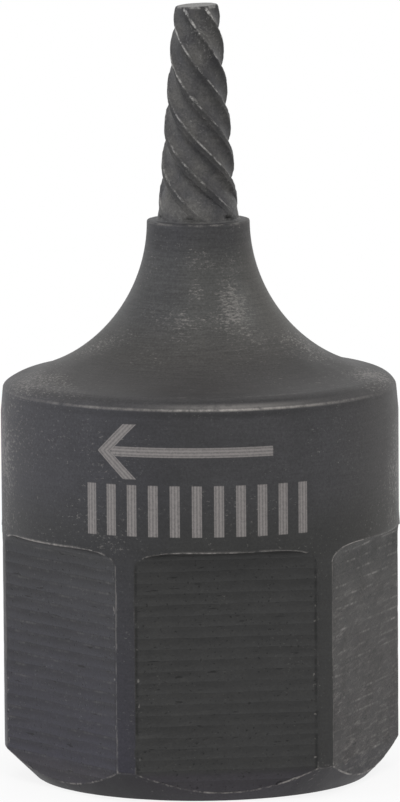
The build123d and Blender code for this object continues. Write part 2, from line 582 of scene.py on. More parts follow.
    def radius(self, at: TipPlaces) -> np.ndarray:
        """Radius of the finished tip, with the unevenness of a hard-used tool."""
        knock = np.maximum(self.waves(at.height, at.ridge, self.knocks) - 0.6, 0)
        limit = self.blank(at.height) - knock * self.knock_depth * near(at.off_ridge, 0, 3)
        form = self.milled(at)
        # The heel under each ridge is rounded, and the ridge itself stays sharp
        soft = self.ridge_ease + self.heel_ease * rising(at.flute, 0.45, 0.15)
        blend = np.clip(0.5 + 0.5 * (form - limit) / soft, 0, 1)
        shaped = form * (1 - blend) + limit * blend - soft * blend * (1 - blend)
        deep = self.notch_depth * (1 + 0.5 * np.sin(at.ridge * 2.2))
        shaped = shaped - deep * self.notch(at)
        for height, reach, angle, rise in self.burrs:
            shaped = shaped + rise * self.burr(at, height, reach, angle)
        # The foot of the tip is smeared
        spot = at.height / MM
        root = np.clip(1 - (at.height - self.foot) / (1.1 * MM), 0, 1)
        smear = np.sin(spot * 9 + at.around * 7) * np.sin(at.around * 11 - spot * 5)
        smeared = at.height > self.foot + 0.1 * MM
        return shaped - 0.012 * MM * root * (1 + smear) * smeared

    def shape(self, body: bpy.types.Object) -> None:
        """Moves the tip's vertices into the flutes, and keeps the wear and the painted shade of
        each in attributes.
        """
        points = points_of(body)
        height = points[:, 2].copy()
        in_flutes = (height < self.top - 1e-7) | (radii(points) > 0.9 * MM)
        on_tip = (height > self.foot + 1e-7) & in_flutes
        at = self.places(points[on_tip])
        shaped = self.radius(at)
        points[on_tip, 0] = np.sin(at.around) * shaped
        points[on_tip, 1] = -np.cos(at.around) * shaped
        # The end was faced a little out of square: its -X side is lower
        near_end = np.clip(1 - (self.top - height) / (1.2 * MM), 0, 1) ** 2
        points[:, 2] -= near_end * self.end_slant * (0.5 - 0.5 * points[:, 0] / (0.95 * MM))
        put_points(body, points)
        fade = rising(at.height, self.foot + 0.3 * MM, 0.8 * MM)
        line = np.clip(1.3 - at.off_ridge * 0.7, 0, 1) * fade
        burr = np.maximum.reduce([self.burr(at, *place[:3]) for place in self.burrs])
        line = np.where(burr > 0.1, 1 + burr, line)
        # Painted shade: darkest under each ridge, where the flute's wall faces down, and in the
        # notches at the root
        heel = rising(at.flute, 0.25, 0.65) ** 1.5 * np.clip((1.02 - at.flute) / 0.05, 0, 1)
        dark = np.clip(heel * (0.4 + 0.6 * fade) + 1.5 * self.notch(at), 0, 1)
        for name, values in (("ridge", line), ("shade", dark)):
            everywhere = np.zeros(len(points))
            everywhere[on_tip] = values
            put_attribute(body, name, everywhere)
        log.info("grew the tip: %d vertices", int(on_tip.sum()))

    def grow(self, body: bpy.types.Object) -> None:
        """Makes the tip on the body's collar."""
        self.extrude(body)
        self.shape(body)


# Nodes


def math_step(operation: str) -> Callable[..., "Wire"]:
    """Makes the method of a wire that adds one kind of math node."""
    return lambda wire, *others: wire.math(operation, *others)


class Wire:
    """Value that runs from one node to the next. Arithmetic with it adds math nodes."""

    def __init__(self, sheet: "Sheet", socket: bpy.types.NodeSocket) -> None:
        """Starts at a node's output."""
        self.sheet = sheet
        self.socket = socket

    def math(self, operation: str, *others: "Value") -> "Wire":
        """Result of a math node that has this wire as its first input."""
        return self.sheet.math(operation, self, *others)

    def __rsub__(self, other: float) -> "Wire":
        """A number less this value."""
        return self.sheet.math("SUBTRACT", other, self)

    __add__ = math_step("ADD")
    __sub__ = math_step("SUBTRACT")
    __mul__ = math_step("MULTIPLY")
    __truediv__ = math_step("DIVIDE")
    __abs__ = math_step("ABSOLUTE")

    def clamped(self) -> "Wire":
        """The same value kept from 0 to 1, by the math node that it comes from."""
        self.socket.node.use_clamp = True
        return self

    def largest(self, *others: "Value") -> "Wire":
        """Largest of this and other values."""
        result = self
        for other in others:
            result = result.math("MAXIMUM", other)
        return result

    def ramp(self, low: "Value", high: "Value", start: float = 0.0, end: float = 1.0,
             kind: str = "LINEAR") -> "Wire":
        """Value that goes from start at low to end at high, and stays between them."""
        inputs = {0: self, 1: low, 2: high, 3: start, 4: end}
        return self.sheet.wire("MapRange", inputs, interpolation_type=kind)

    def above(self, level: float, cover: "Value", gain: float, span: float) -> "Wire":
        """One where this is over a level, which sinks by the cover times the gain."""
        low = level - cover * gain
        return self.ramp(low, low + span)

    def swing(self, swing: float) -> "Wire":
        """Factor round one that follows this noise."""
        return self.ramp(0.3, 0.7, 1 - swing, 1 + swing)

    def spot(self, middle: float, reach: float) -> "Wire":
        """One at a value, and falling smoothly to nothing at a distance from it."""
        return abs(self - middle).ramp(0.0, reach, 1.0, 0.0, "SMOOTHSTEP")

    def noise(self, scale: "Value", detail: float = 3.0, roughness: float = 0.55) -> "Wire":
        """Noise from 0 to 1 at this point."""
        inputs = {"Vector": self, "Scale": scale, "Detail": detail, "Roughness": roughness}
        return self.sheet.wire("TexNoise", inputs, "Fac")

    def parts(self) -> list["Wire"]:
        """X, Y and Z of this vector."""
        return self.sheet.wires("SeparateXYZ", {0: self})

    def join(self, y: "Value", z: "Value") -> "Wire":
        """Vector that has this value as its X."""
        return self.sheet.wire("CombineXYZ", {0: self, 1: y, 2: z})

    def times(self, factors: "Wire | Colour") -> "Wire":
        """This vector multiplied part by part."""
        return self.sheet.wire("VectorMath", {0: self, 1: factors}, operation="MULTIPLY")


Value = Wire | float


class Sheet:
    """Node tree that is filled from left to right, with short ways to add and join nodes."""

    def __init__(self, tree: bpy.types.NodeTree) -> None:
        """Starts on an empty tree."""
        self.tree = tree
        self.tree.nodes.clear()

    def add(self, kind: str, inputs: dict | None = None, **settings: object) -> bpy.types.Node:
        """Adds a node.

        Args:
            kind: Type of the node, without its ShaderNode prefix.
            inputs: Value or wire for each input, by name or index.
            settings: Values of the node's properties.

        Returns:
            The new node.
        """
        node = self.tree.nodes.new(kind if kind.startswith("Node") else "ShaderNode" + kind)
        node.location = (len(self.tree.nodes) * 180, 0)
        for name, value in settings.items():
            setattr(node, name, value)
        for key, value in (inputs or {}).items():
            if isinstance(value, Wire):
                self.tree.links.new(value.socket, node.inputs[key])
            else:
                node.inputs[key].default_value = value
        return node

    def wires(self, kind: str, inputs: dict | None = None, **settings: object) -> list[Wire]:
        """Adds a node and gives its outputs."""
        return [Wire(self, socket) for socket in self.add(kind, inputs, **settings).outputs]

    def wire(self, kind: str, inputs: dict | None = None, output: int | str = 0,
             **settings: object) -> Wire:
        """Adds a node and gives one of its outputs."""
        return Wire(self, self.add(kind, inputs, **settings).outputs[output])

    def math(self, operation: str, *values: Value) -> Wire:
        """Result of a math node."""
        return self.wire("Math", dict(enumerate(values)), operation=operation)

    def group(self, tree: bpy.types.NodeTree, **inputs: Value) -> list[Wire]:
        """Adds a node group and gives its outputs."""
        named = {name.replace("_", " "): value for name, value in inputs.items()}
        return self.wires("Group", named, node_tree=tree)

    def mix(self, share: Value, first: Wire | Colour, second: Wire | Colour) -> Wire:
        """Colour between two colours."""
        first, second = (end if isinstance(end, Wire) else (*end, 1) for end in (first, second))
        return self.wire("Mix", {0: share, 6: first, 7: second}, 2, data_type="RGBA")


def make_group(name: str, fill: Callable[..., tuple[Wire, ...]], inputs: dict[str, float | None],
               outputs: dict[str, str]) -> bpy.types.NodeTree:
    """Makes a shader node group with named sockets.

    Args:
        name: Name of the group.
        fill: Makes the outputs from the inputs.
        inputs: Default of each input: a number, or None for a vector.
        outputs: Type of each output, such as Float or Vector.

    Returns:
        The group's tree.
    """
    tree = bpy.data.node_groups.new(name, "ShaderNodeTree")
    for key, default in inputs.items():
        kind = "NodeSocketVector" if default is None else "NodeSocketFloat"
        socket = tree.interface.new_socket(name=key, in_out="INPUT", socket_type=kind)
        if default is not None:
            socket.default_value = default
    for key, kind in outputs.items():
        tree.interface.new_socket(name=key, in_out="OUTPUT", socket_type="NodeSocket" + kind)
    sheet = Sheet(tree)
    starts = sheet.wires("NodeGroupInput")[:len(inputs)]
    sheet.add("NodeGroupOutput", dict(enumerate(fill(*starts))))
    return tree


def find_place(place: Wire) -> tuple[Wire, ...]:
    """Place on the tool in millimetres: angle round the axis, radius, height and point."""
    point = place.times((1000, 1000, 1000))
    x, y, z = point.parts()
    return x.math("ARCTAN2", y * -1.0), (x * x + y * y).math("SQRT"), z, point


def break_edge(point: Wire, edge: Wire, stretch: Wire, dash: Wire,
               cover: Wire) -> tuple[Wire, ...]:
    """Wear along an edge: bare in some stretches, and broken into dots and dashes there."""
    long = point.noise(stretch, 2.0, 0.5)
    short = point.noise(dash, 3.0, 0.7)
    share = (long * 0.5 + short * 0.5).above(0.66, cover, 0.3, 0.16)
    # Where the edge value is over one, the edge is bare apart from a few specks
    always = (edge - 1.0).clamped() * short.ramp(0.38, 0.58, 0.1, 1.0)
    return ((share * edge).clamped().largest(always),)


def draw_outline_ring(point: Wire, radius: Wire, height: Wire, ring_radius: Wire, ring_height: Wire,
              width: Wire, cover: Wire) -> tuple[Wire, ...]:
    """Line round the tool at one place of its outline, broken unevenly: pale for wear and painted
    highlight, dark for painted shade.
    """
    aside = radius - ring_radius
    above = height - ring_height
    gap = (aside * aside + above * above).math("SQRT")
    close = (gap / width).ramp(1.0, 0.0, kind="SMOOTHSTEP")
    mixed = point.noise(0.32, 2.0, 0.5) * 0.45 + point.noise(3.0, 4.0, 0.8) * 0.55
    return ((close * mixed.above(0.66, cover, 0.3, 0.2)).clamped(),)


def draw_lines(place: Wire, pitch: Wire, wander: Wire) -> tuple[Wire, ...]:
    """Lines that a cutting tool leaves: fine ones, the rows of its feed, and their crests."""
    x, y, z = place.parts()
    slow = place.times((0.5, 1, 1)).noise(0.7)
    shifted = z + (slow - 0.5) * wander
    fine = x.join(y, shifted).times((0.08, 0.08, 1)).noise(8.0, 4.0, 0.65)
    turns = shifted / pitch
    row = turns.math("FRACT")
    number = turns.math("FLOOR")
    # Each row rises slowly and drops at its edge, more in some rows than in others
    uneven = (x * 0.15).join(y, number).noise(1.3, 2.0)
    rows = row.ramp(0.0, 0.85, kind="SMOOTHSTEP") * uneven.ramp(0.3, 0.6, 0.35, 1.0)
    broken = x.join(y, number * 3.0).noise(0.9, 6.0, 0.8)
    ragged = place.noise(5.0, 2.0).ramp(0.35, 0.6, 0.4, 1.0)
    return fine, rows, row.spot(0.86, 0.18) * broken.ramp(0.44, 0.66) * ragged


def scuff(place: Wire, patch_scale: Wire, speck_scale: Wire, cover: Wire) -> tuple[Wire, ...]:
    """Pale specks, close together where the surface was rubbed and rare elsewhere."""
    patch = place.noise(patch_scale, 3.0, 0.6)
    speck = place.noise(speck_scale, 3.0, 0.72)
    return ((speck + (patch - 0.5) * 0.4 + cover * 0.25).ramp(0.66, 0.84),)


def nick(along: Wire, across: Wire, side: Wire, length: Wire,
         cover: Wire) -> tuple[Wire, ...]:
    """Short scratches that run along a cut face, and small pits."""
    scratches = (along / length).join(across, side).noise(5.0, 2.0, 0.5)
    pits = along.join(across, side + 7.0).noise(6.0, 1.0, 0.5)
    return tuple(marks.above(0.78, cover, 0.16, 0.05) for marks in (scratches, pits))


def cross(along: Wire, across: Wire, side: Wire, lean: Wire, cover: Wire) -> tuple[Wire, ...]:
    """Fine straight scratches that lean one way across a face."""
    leaning = across - along * lean
    noise = (along * 0.5).join(leaning * 4.0, side).noise(1.5, 3.0, 0.7)
    line = abs(noise - 0.5).ramp(0.0, 0.022, 1.0, 0.0)
    patch = along.join(across, side).noise(0.8, 3.0, 0.7)
    return (line * patch.above(0.7, cover, 0.4, 0.2),)


def etch(along: Wire, height: Wire) -> tuple[Wire, ...]:
    """Plain mark on the band: an arrow that shows the way to turn, over a row of bars."""
    stroke = 0.23
    line_pitch = 0.155

    def strip(across: Wire, half: float) -> Wire:
        """One inside a strip round zero, and nothing outside it."""
        return ((half + 0.02 - abs(across)) * 25.0).clamped()

    def burnt(across: Wire) -> Wire:
        """Fine burnt lines along a stroke, dark at its middle."""
        wave = (across * (2 * math.pi / line_pitch)).math("COSINE")
        return wave.ramp(-1.0, 1.0, 1.0, 0.55)

    level = height - 16.9
    shaft = strip(along + 1.72, 3.9) * strip(level, stroke)
    lean = along + 6.0 - abs(level)
    barb = strip(lean, stroke * 1.42) * strip(level, 1.3)
    ticks = (along + 6.68).math("PINGPONG", 0.52)
    row = strip(ticks, stroke) * strip(along + 1.48, 5.46) * strip(height - 14.1, 1.22)
    arrow = barb * burnt(lean * 0.7) + (shaft - barb).clamped() * burnt(level)
    return shaft.largest(barb, row), arrow + row * burnt(ticks)


class EffectGroups:
    """The effects that the finishes share, each a node group with named inputs and outputs."""

    def __init__(self) -> None:
        """Builds every group once."""
        mask = {"Mask": "Float"}
        flat = {"Along": 0.0, "Across": 0.0, "Side": 0.0}
        self.round_place = make_group(
            "place_round_axis", find_place, {"Point": None},
            {"Angle": "Float", "Radius": "Float", "Height": "Float", "Point": "Vector"})
        self.broken_edge = make_group(
            "broken_edge_wear", break_edge,
            {"Point": None, "Edge": 0.0, "Stretch": 0.35, "Dash": 3.0, "Cover": 0.5}, mask)
        self.outline_ring = make_group(
            "outline_ring", draw_outline_ring,
            {"Point": None, "Radius": 0.0, "Height": 0.0, "Ring Radius": 9.0,
             "Ring Height": 18.0, "Width": 0.1, "Cover": 0.5}, mask)
        self.tool_lines = make_group(
            "tool_lines", draw_lines, {"Place": None, "Pitch": 0.5, "Wander": 0.1},
            {"Fine": "Float", "Rows": "Float", "Crests": "Float"})
        self.scuffs = make_group(
            "pale_scuffs", scuff,
            {"Place": None, "Patch Scale": 0.35, "Speck Scale": 8.0, "Cover": 0.2}, mask)
        self.nicks = make_group(
            "nicks_and_pits", nick, {**flat, "Length": 1.0, "Cover": 0.5},
            {"Scratch": "Float", "Pit": "Float"})
        self.crossed = make_group(
            "leaning_scratches", cross, {**flat, "Lean": 0.4, "Cover": 0.5}, mask)
        self.etched_mark = make_group(
            "etched_mark", etch, {"Along": 0.0, "Height": 0.0}, {**mask, "Lines": "Float"})


# Finishes


@dataclass(frozen=True)
class WearAndPaintedLightRing:
    """One line round the turned form, at a place of its outline in millimetres, drawn for wear,
    painted highlight and painted shade.
    """

    radius: float
    height: float
    width: float
    cover: float
    level: float
    spread: float = 0.8


@dataclass(frozen=True)
class RubbedPatch:
    """Place on the turned form where handling rubbed the oxide: angle, height and their reach."""

    angle: float
    reach: float
    height: float
    rise: float
    level: float


@dataclass(frozen=True)
class Place:
    """Where a point lies round the tool's axis, in millimetres."""

    angle: Wire
    radius: Wire
    height: Wire
    point: Wire


@dataclass(frozen=True)
class Lines:
    """Where a point lies along and across the way that its surface was cut."""

    place: Wire
    along: Wire
    across: Wire
    side: Value


@dataclass(frozen=True)
class Surface:
    """What a finish is drawn with: places, the marks of the cutter, and coarse and fine noise."""

    sheet: Sheet
    groups: EffectGroups
    place: Place
    lines: Lines
    fine: Wire
    rows: Wire
    crests: Wire
    mottle: Wire
    grain: Wire

    def effect(self, name: str, **inputs: Value) -> list[Wire]:
        """Adds one of the shared effects and gives its outputs."""
        return self.sheet.group(getattr(self.groups, name), **inputs)


@dataclass
class Look:
    """What the marks and the painted light and shade add up to: factor on the oxide, height in
    millimetres, and bare metal.
    """

    shade: Wire
    relief: Wire
    pale: Wire


@dataclass(frozen=True)
class PaintedLightTint:
    """Painted light: a tint by side and height for the colour of the light, cool from the left and
    warm from the right, as factors on red, green and blue.
    """

    left: Colour = (1.0, 1.0, 1.07)
    left_low: Colour = (1.02, 0.97, 1.38)
    left_neck: Colour = (1.0, 1.0, 1.03)
    front: Colour = (1.0, 1.0, 1.0)
    front_neck: Colour = (1.0, 1.0, 0.98)
    right: Colour = (1.04, 1.0, 0.93)
    right_low: Colour = (1.20, 1.0, 1.0)
    slope: Colour = (1.04, 1.0, 0.935)
    foot: Colour = (1.12, 1.0, 1.24)

    def on(self, sheet: Sheet, colour: Wire | Colour, angle: Wire, height: Wire) -> Wire:
        """Tints a colour with painted light: cool on the left, most near the foot, and warm on the
        right.
        """
        turn = angle.math("SINE")
        low = height.ramp(1.5, 13.0, 1.0, 0.0)
        neck = height.ramp(18.8, 19.6)
        left = sheet.mix(neck, sheet.mix(low, self.left, self.left_low), self.left_neck)
        front = sheet.mix(neck, self.front, self.front_neck)
        tint = sheet.mix(turn.ramp(-0.5, -0.2, 1.0, 0.0), front, left)
        tint = sheet.mix(turn.ramp(0.52, 0.85), tint, sheet.mix(low, self.right, self.right_low))
        tint = sheet.mix(neck * height.ramp(20.8, 22.6, 1.0, 0.0), tint, self.slope)
        tint = sheet.mix(height.ramp(1.3, 1.6, 0.8, 0.0), tint, self.foot)
        return tint.times(colour)


@dataclass(frozen=True)
class BlackenedSteel:
    """Matte black oxide on steel, as the socket has it, and what the other finishes share."""

    name: str = "blackened_socket"
    colour: Colour = (0.0350, 0.0345, 0.0370)
    warm_colour: Colour = (0.052, 0.0505, 0.0485)
    worn_colour: Colour = (0.28, 0.264, 0.25)
    tint: PaintedLightTint = PaintedLightTint()
    roughness: float = 0.55
    roughness_swing: float = 0.05
    specular: float = 0.28
    worn_metal: float = 0.6
    line_pitch: float = 0.5
    line_wander: float = 0.04
    line_depth: float = 0.004
    line_shade: float = 0.5
    grain_depth: float = 0.004
    grain_shade: float = 0.3
    mottle_shade: float = 0.12
    scuff_cover: float = 0.1
    scuff_level: float = 0.5
    scuff_shape: Triple = (0.6, 0.6, 1.0)
    edge_source: str = "edge"
    edge_stretch: float = 0.35
    edge_dash: float = 3.0
    edge_cover: float = 0.6
    edge_level: float = 0.6

    def cut_lines(self, place: Place) -> Lines:
        """Finds the way that the surface was cut: round the axis."""
        x, y, _ = place.point.parts()
        across = place.height - place.radius
        return Lines(x.join(y, across), place.angle * 9.5, across, 0.0)

    def surface(self, sheet: Sheet, groups: EffectGroups) -> Surface:
        """Starts a material with what its finish is drawn with."""
        start = sheet.wire("TexCoord", output="Object")
        place = Place(*sheet.group(groups.round_place, Point=start))
        lines = self.cut_lines(place)
        marks = sheet.group(groups.tool_lines, Place=lines.place, Pitch=self.line_pitch,
                            Wander=self.line_wander)
        mottle = place.point.noise(0.7, 4.0, 0.6)
        grain = place.point.noise(9.0, 4.0, 0.75)
        return Surface(sheet, groups, place, lines, *marks, mottle, grain)

    def mottle_and_painted_light(self, surface: Surface) -> Wire:
        """Factor for the uneven oxide, without lines; the turned finish adds painted light and
        shade to it.
        """
        return surface.mottle.swing(self.mottle_shade) * surface.grain.swing(self.grain_shade)

    def line_strength(self, surface: Surface) -> Value:
        """How strongly the cutter's fine lines darken and lighten the oxide."""
        return self.line_shade

    def scuffed(self, surface: Surface) -> Value:
        """How much of the surface is scuffed."""
        return self.scuff_cover

    def base(self, surface: Surface) -> Wire | Colour:
        """Colour of the oxide under the wear."""
        return self.colour

    def work(self, surface: Surface, look: Look) -> None:
        """Adds the marks that only this finish has."""

    def edge_wear(self, surface: Surface) -> Wire:
        """Bare metal along the edges."""
        edge = surface.sheet.wire("Attribute", output="Fac", attribute_name=self.edge_source)
        return surface.effect(
            "broken_edge", Point=surface.place.point, Edge=edge, Cover=self.edge_cover,
            Stretch=self.edge_stretch, Dash=self.edge_dash)[0] * self.edge_level

    def scuffing(self, surface: Surface) -> Wire:
        """Pale specks over the whole surface."""
        place = surface.lines.place.times(self.scuff_shape)
        scuff = surface.effect("scuffs", Place=place, Cover=self.scuffed(surface))
        return scuff[0] * self.scuff_level

    def face(self, surface: Surface, look: Look) -> Wire:
        """Colour of the face: oxide, and bare metal where it is worn."""
        oxide = surface.sheet.wire(
            "VectorMath", {0: self.base(surface), "Scale": look.shade}, operation="SCALE")
        return surface.sheet.mix(look.pale, oxide, self.worn_colour)

    def material(self, groups: EffectGroups) -> bpy.types.Material:
        """Makes the material from the shared effects."""
        material = bpy.data.materials.new(self.name)
        material.use_nodes = True
        sheet = Sheet(material.node_tree)
        surface = self.surface(sheet, groups)
        line = (surface.fine - 0.5).math("MULTIPLY_ADD", self.line_strength(surface), 1.0)
        look = Look(
            self.mottle_and_painted_light(surface) * line,
            surface.fine * self.line_depth + surface.grain * self.grain_depth,
            self.edge_wear(surface).largest(self.scuffing(surface)),
        )
        self.work(surface, look)
        colour = self.face(surface, look)
        rough = surface.mottle.ramp(0.3, 0.7, self.roughness - self.roughness_swing,
                                    self.roughness + self.roughness_swing)
        bump = sheet.wire("Bump", {"Height": look.relief, "Strength": 1.0, "Distance": MM})
        shader = sheet.wire("BsdfPrincipled", {
            "Base Color": colour, "Roughness": rough, "Normal": bump,
            "Metallic": look.pale * self.worn_metal, "Specular IOR Level": self.specular,
        })
        sheet.add("OutputMaterial", {0: shader})
        return material


@dataclass(frozen=True)
class TurnedSteel(BlackenedSteel):
    """Finish of the band, shoulder, neck and collar, with rubbed rings, painted highlight and
    painted shade by the band's edge, painted light and shade by side, and an etched mark.
    """

    name: str = "blackened_turned"
    low_colour: Colour = (0.0226, 0.0226, 0.0222)
    warm_colour: Colour = (0.0507, 0.0505, 0.0497)
    mark_colour: Colour = (0.2, 0.186, 0.181)
    mark_depth: float = 0.004
    edge_cover: float = 0.65
    edge_level: float = 0.8
    neck_lines: float = 2.2  # how much stronger the neck's lines are than the band's
    # Pale rings: at and above the band's edge, wear and the painted highlight of its rounded bead
    # and of the line above it, brightest in front; at the collar's edge, wear.
    rings: tuple[WearAndPaintedLightRing, ...] = (
        WearAndPaintedLightRing(9.45, 18.91, 0.12, 1.0, 0.75), WearAndPaintedLightRing(9.36, 19.02, 0.26, 1.2, 0.45, 0.1),
        WearAndPaintedLightRing(8.75, 19.42, 0.13, 0.55, 0.25), WearAndPaintedLightRing(2.45, 26.82, 0.12, 0.8, 1.0),
    )
    ledge: WearAndPaintedLightRing = WearAndPaintedLightRing(9.56, 12.13, 0.1, 0.85, 1.0)
    # Painted shade: a dark line just under the band's edge for the shadow of its bead, and one on
    # the shoulder above it for the shade of a shallow hollow
    shaded_rings: tuple[WearAndPaintedLightRing, ...] = (
        WearAndPaintedLightRing(9.46, 18.66, 0.26, 3.0, 0.24), WearAndPaintedLightRing(9.12, 19.22, 0.2, 2.0, 0.16),
    )
    patches: tuple[RubbedPatch, ...] = (
        RubbedPatch(0.36, 0.44, 23.0, 2.8, 0.88), RubbedPatch(-0.18, 0.22, 23.9, 1.2, 0.62),
        RubbedPatch(-0.05, 0.6, 25.2, 1.3, 0.5), RubbedPatch(-0.36, 0.4, 22.2, 1.0, 0.48),
        RubbedPatch(1.15, 0.6, 20.6, 1.5, 0.55), RubbedPatch(1.2, 0.5, 19.4, 0.8, 0.95),
        RubbedPatch(-1.4, 0.5, 20.9, 0.9, 0.6), RubbedPatch(-1.35, 0.65, 19.3, 1.0, 0.6),
        RubbedPatch(-1.6, 0.45, 15.6, 6.5, 0.75), RubbedPatch(1.35, 0.45, 15.6, 6.5, 0.7),
        # Partly painted reflection: the next patch's specks lighten the upper neck on the right
        RubbedPatch(0.45, 0.45, 24.9, 1.4, 0.55),
        RubbedPatch(2.7, 0.5, 22.4, 1.8, 0.8), RubbedPatch(-2.5, 0.6, 19.6, 1.2, 0.7),
    )

    def mottle_and_painted_light(self, surface: Surface) -> Wire:
        """Factor for the uneven oxide, with painted light and shade by side: lighter on the neck's
        right, darker on its left, the band's front left and the shoulder's sides, and at the foot
        darker at the sides than in front.
        """
        angle, height = surface.place.angle, surface.place.height
        turn = angle.math("SINE")
        # Painted light and shade by side: a painted sheen on the neck's right, and painted shade on
        # the neck's left, the band's front left, the shoulder's sides and the foot's sides
        neck = angle.spot(0.5, 0.5) * height.spot(22.9, 3.1) * 0.5
        high = height.ramp(20.0, 21.5) * height.ramp(26.3, 26.8, 1.0, 0.0)
        left = turn.ramp(-0.75, -0.35, -0.17, 0.0) * high
        band = angle.spot(-0.35, 0.65) * height.ramp(12.6, 13.6)
        band = band * height.ramp(18.9, 19.2, 1.0, 0.0) * -0.2
        slope = turn.ramp(0.1, 0.7, 0.0, -0.38) + turn.ramp(-0.8, -0.3, -0.16, 0.0)
        slope = height.spot(20.3, 1.5) * slope
        foot = turn.ramp(-0.5, -0.1, -0.6, 0.15) + turn.ramp(0.2, 0.5, 0.0, -0.5)
        foot = height.ramp(1.4, 1.6, 1.0, 0.0) * foot
        return super().mottle_and_painted_light(surface) * (neck + left + (band + slope) + foot + 1.0)

    def line_strength(self, surface: Surface) -> Wire:
        """Strength of the fine lines: the band was ground smoother than the neck."""
        return surface.place.height.ramp(18.9, 20.4, 1.0, self.neck_lines) * self.line_shade

    def scuffed(self, surface: Surface) -> Wire:
        """How much of the surface is scuffed: most in the rubbed patches."""
        angle, height = surface.place.angle, surface.place.height
        first, *others = [
            angle.spot(patch.angle, patch.reach) * height.spot(patch.height, patch.rise)
            * patch.level for patch in self.patches
        ]
        return first.largest(*others) + self.scuff_cover

    def base(self, surface: Surface) -> Wire:
        """Colour of the oxide: dark under the band, and warmer and lighter on the neck, with the
        painted light tint by side.
        """
        sheet, angle, height = surface.sheet, surface.place.angle, surface.place.height
        rise = height.ramp(19.0, 22.6, kind="SMOOTHSTEP")
        warm = rise * height.ramp(24.6, 26.4, 1.0, 0.1, "SMOOTHSTEP")
        low = height.ramp(12.2, 15.5, 1.0, 0.0, "SMOOTHSTEP") * height.ramp(1.2, 2.2, 0.8, 1.0)
        colour = sheet.mix(warm, sheet.mix(low, self.colour, self.low_colour), self.warm_colour)
        return self.tint.on(sheet, colour, angle, height)

    def ring(self, surface: Surface, ring: WearAndPaintedLightRing) -> Wire:
        """Line round the tool at a place of the outline: wear, painted highlight and painted shade
        are drawn with it.
        """
        place = surface.place
        return surface.effect(
            "outline_ring", Point=place.point, Radius=place.radius, Height=place.height,
            Ring_Radius=ring.radius, Ring_Height=ring.height, Width=ring.width,
            Cover=ring.cover)[0] * ring.level

    def front_ring(self, surface: Surface, ring: WearAndPaintedLightRing) -> Wire:
        """Line round the tool, strongest in front and weakest at the sides: wear and painted
        highlight where pale, painted shade where dark.
        """
        angle = surface.place.angle
        sides = angle.ramp(-1.2, -0.85, 0.12, 1.0) * angle.ramp(0.7, 1.0, 1.0, 0.12) * ring.spread
        return self.ring(surface, ring) * (sides + angle.spot(0.05, 0.6) * 0.8)

    def work(self, surface: Surface, look: Look) -> None:
        """Adds the rubbed rings and their painted highlight, the rubbed ledges, and the lines of
        painted shade beside the band's edge.
        """
        angle = surface.place.angle
        over_flat = angle.math("PINGPONG", SECTOR / 2).ramp(0.2, 0.29, 1.0, 0.0)
        ledge = self.ring(surface, self.ledge) * over_flat * angle.ramp(-0.6, -0.5, 1.0, 0.45)
        # Pale rings of wear, with painted highlight by the band's edge
        pale = [self.front_ring(surface, ring) for ring in self.rings]
        look.pale = look.pale.largest(*pale, ledge)
        # Painted shade beside the band's edge
        for ring in self.shaded_rings:
            look.shade = look.shade * self.front_ring(surface, ring).ramp(0.0, 1.0, 1.0, 0.0)

    def face(self, surface: Surface, look: Look) -> Wire:
        """Colour of the face, with the etched mark over it."""
        etched, burnt = surface.effect(
            "etched_mark", Along=surface.lines.along, Height=surface.place.height)
        look.relief = look.relief - etched * self.mark_depth
        level = burnt * surface.grain.swing(0.3)
        return surface.sheet.mix(level, super().face(surface, look), self.mark_colour)


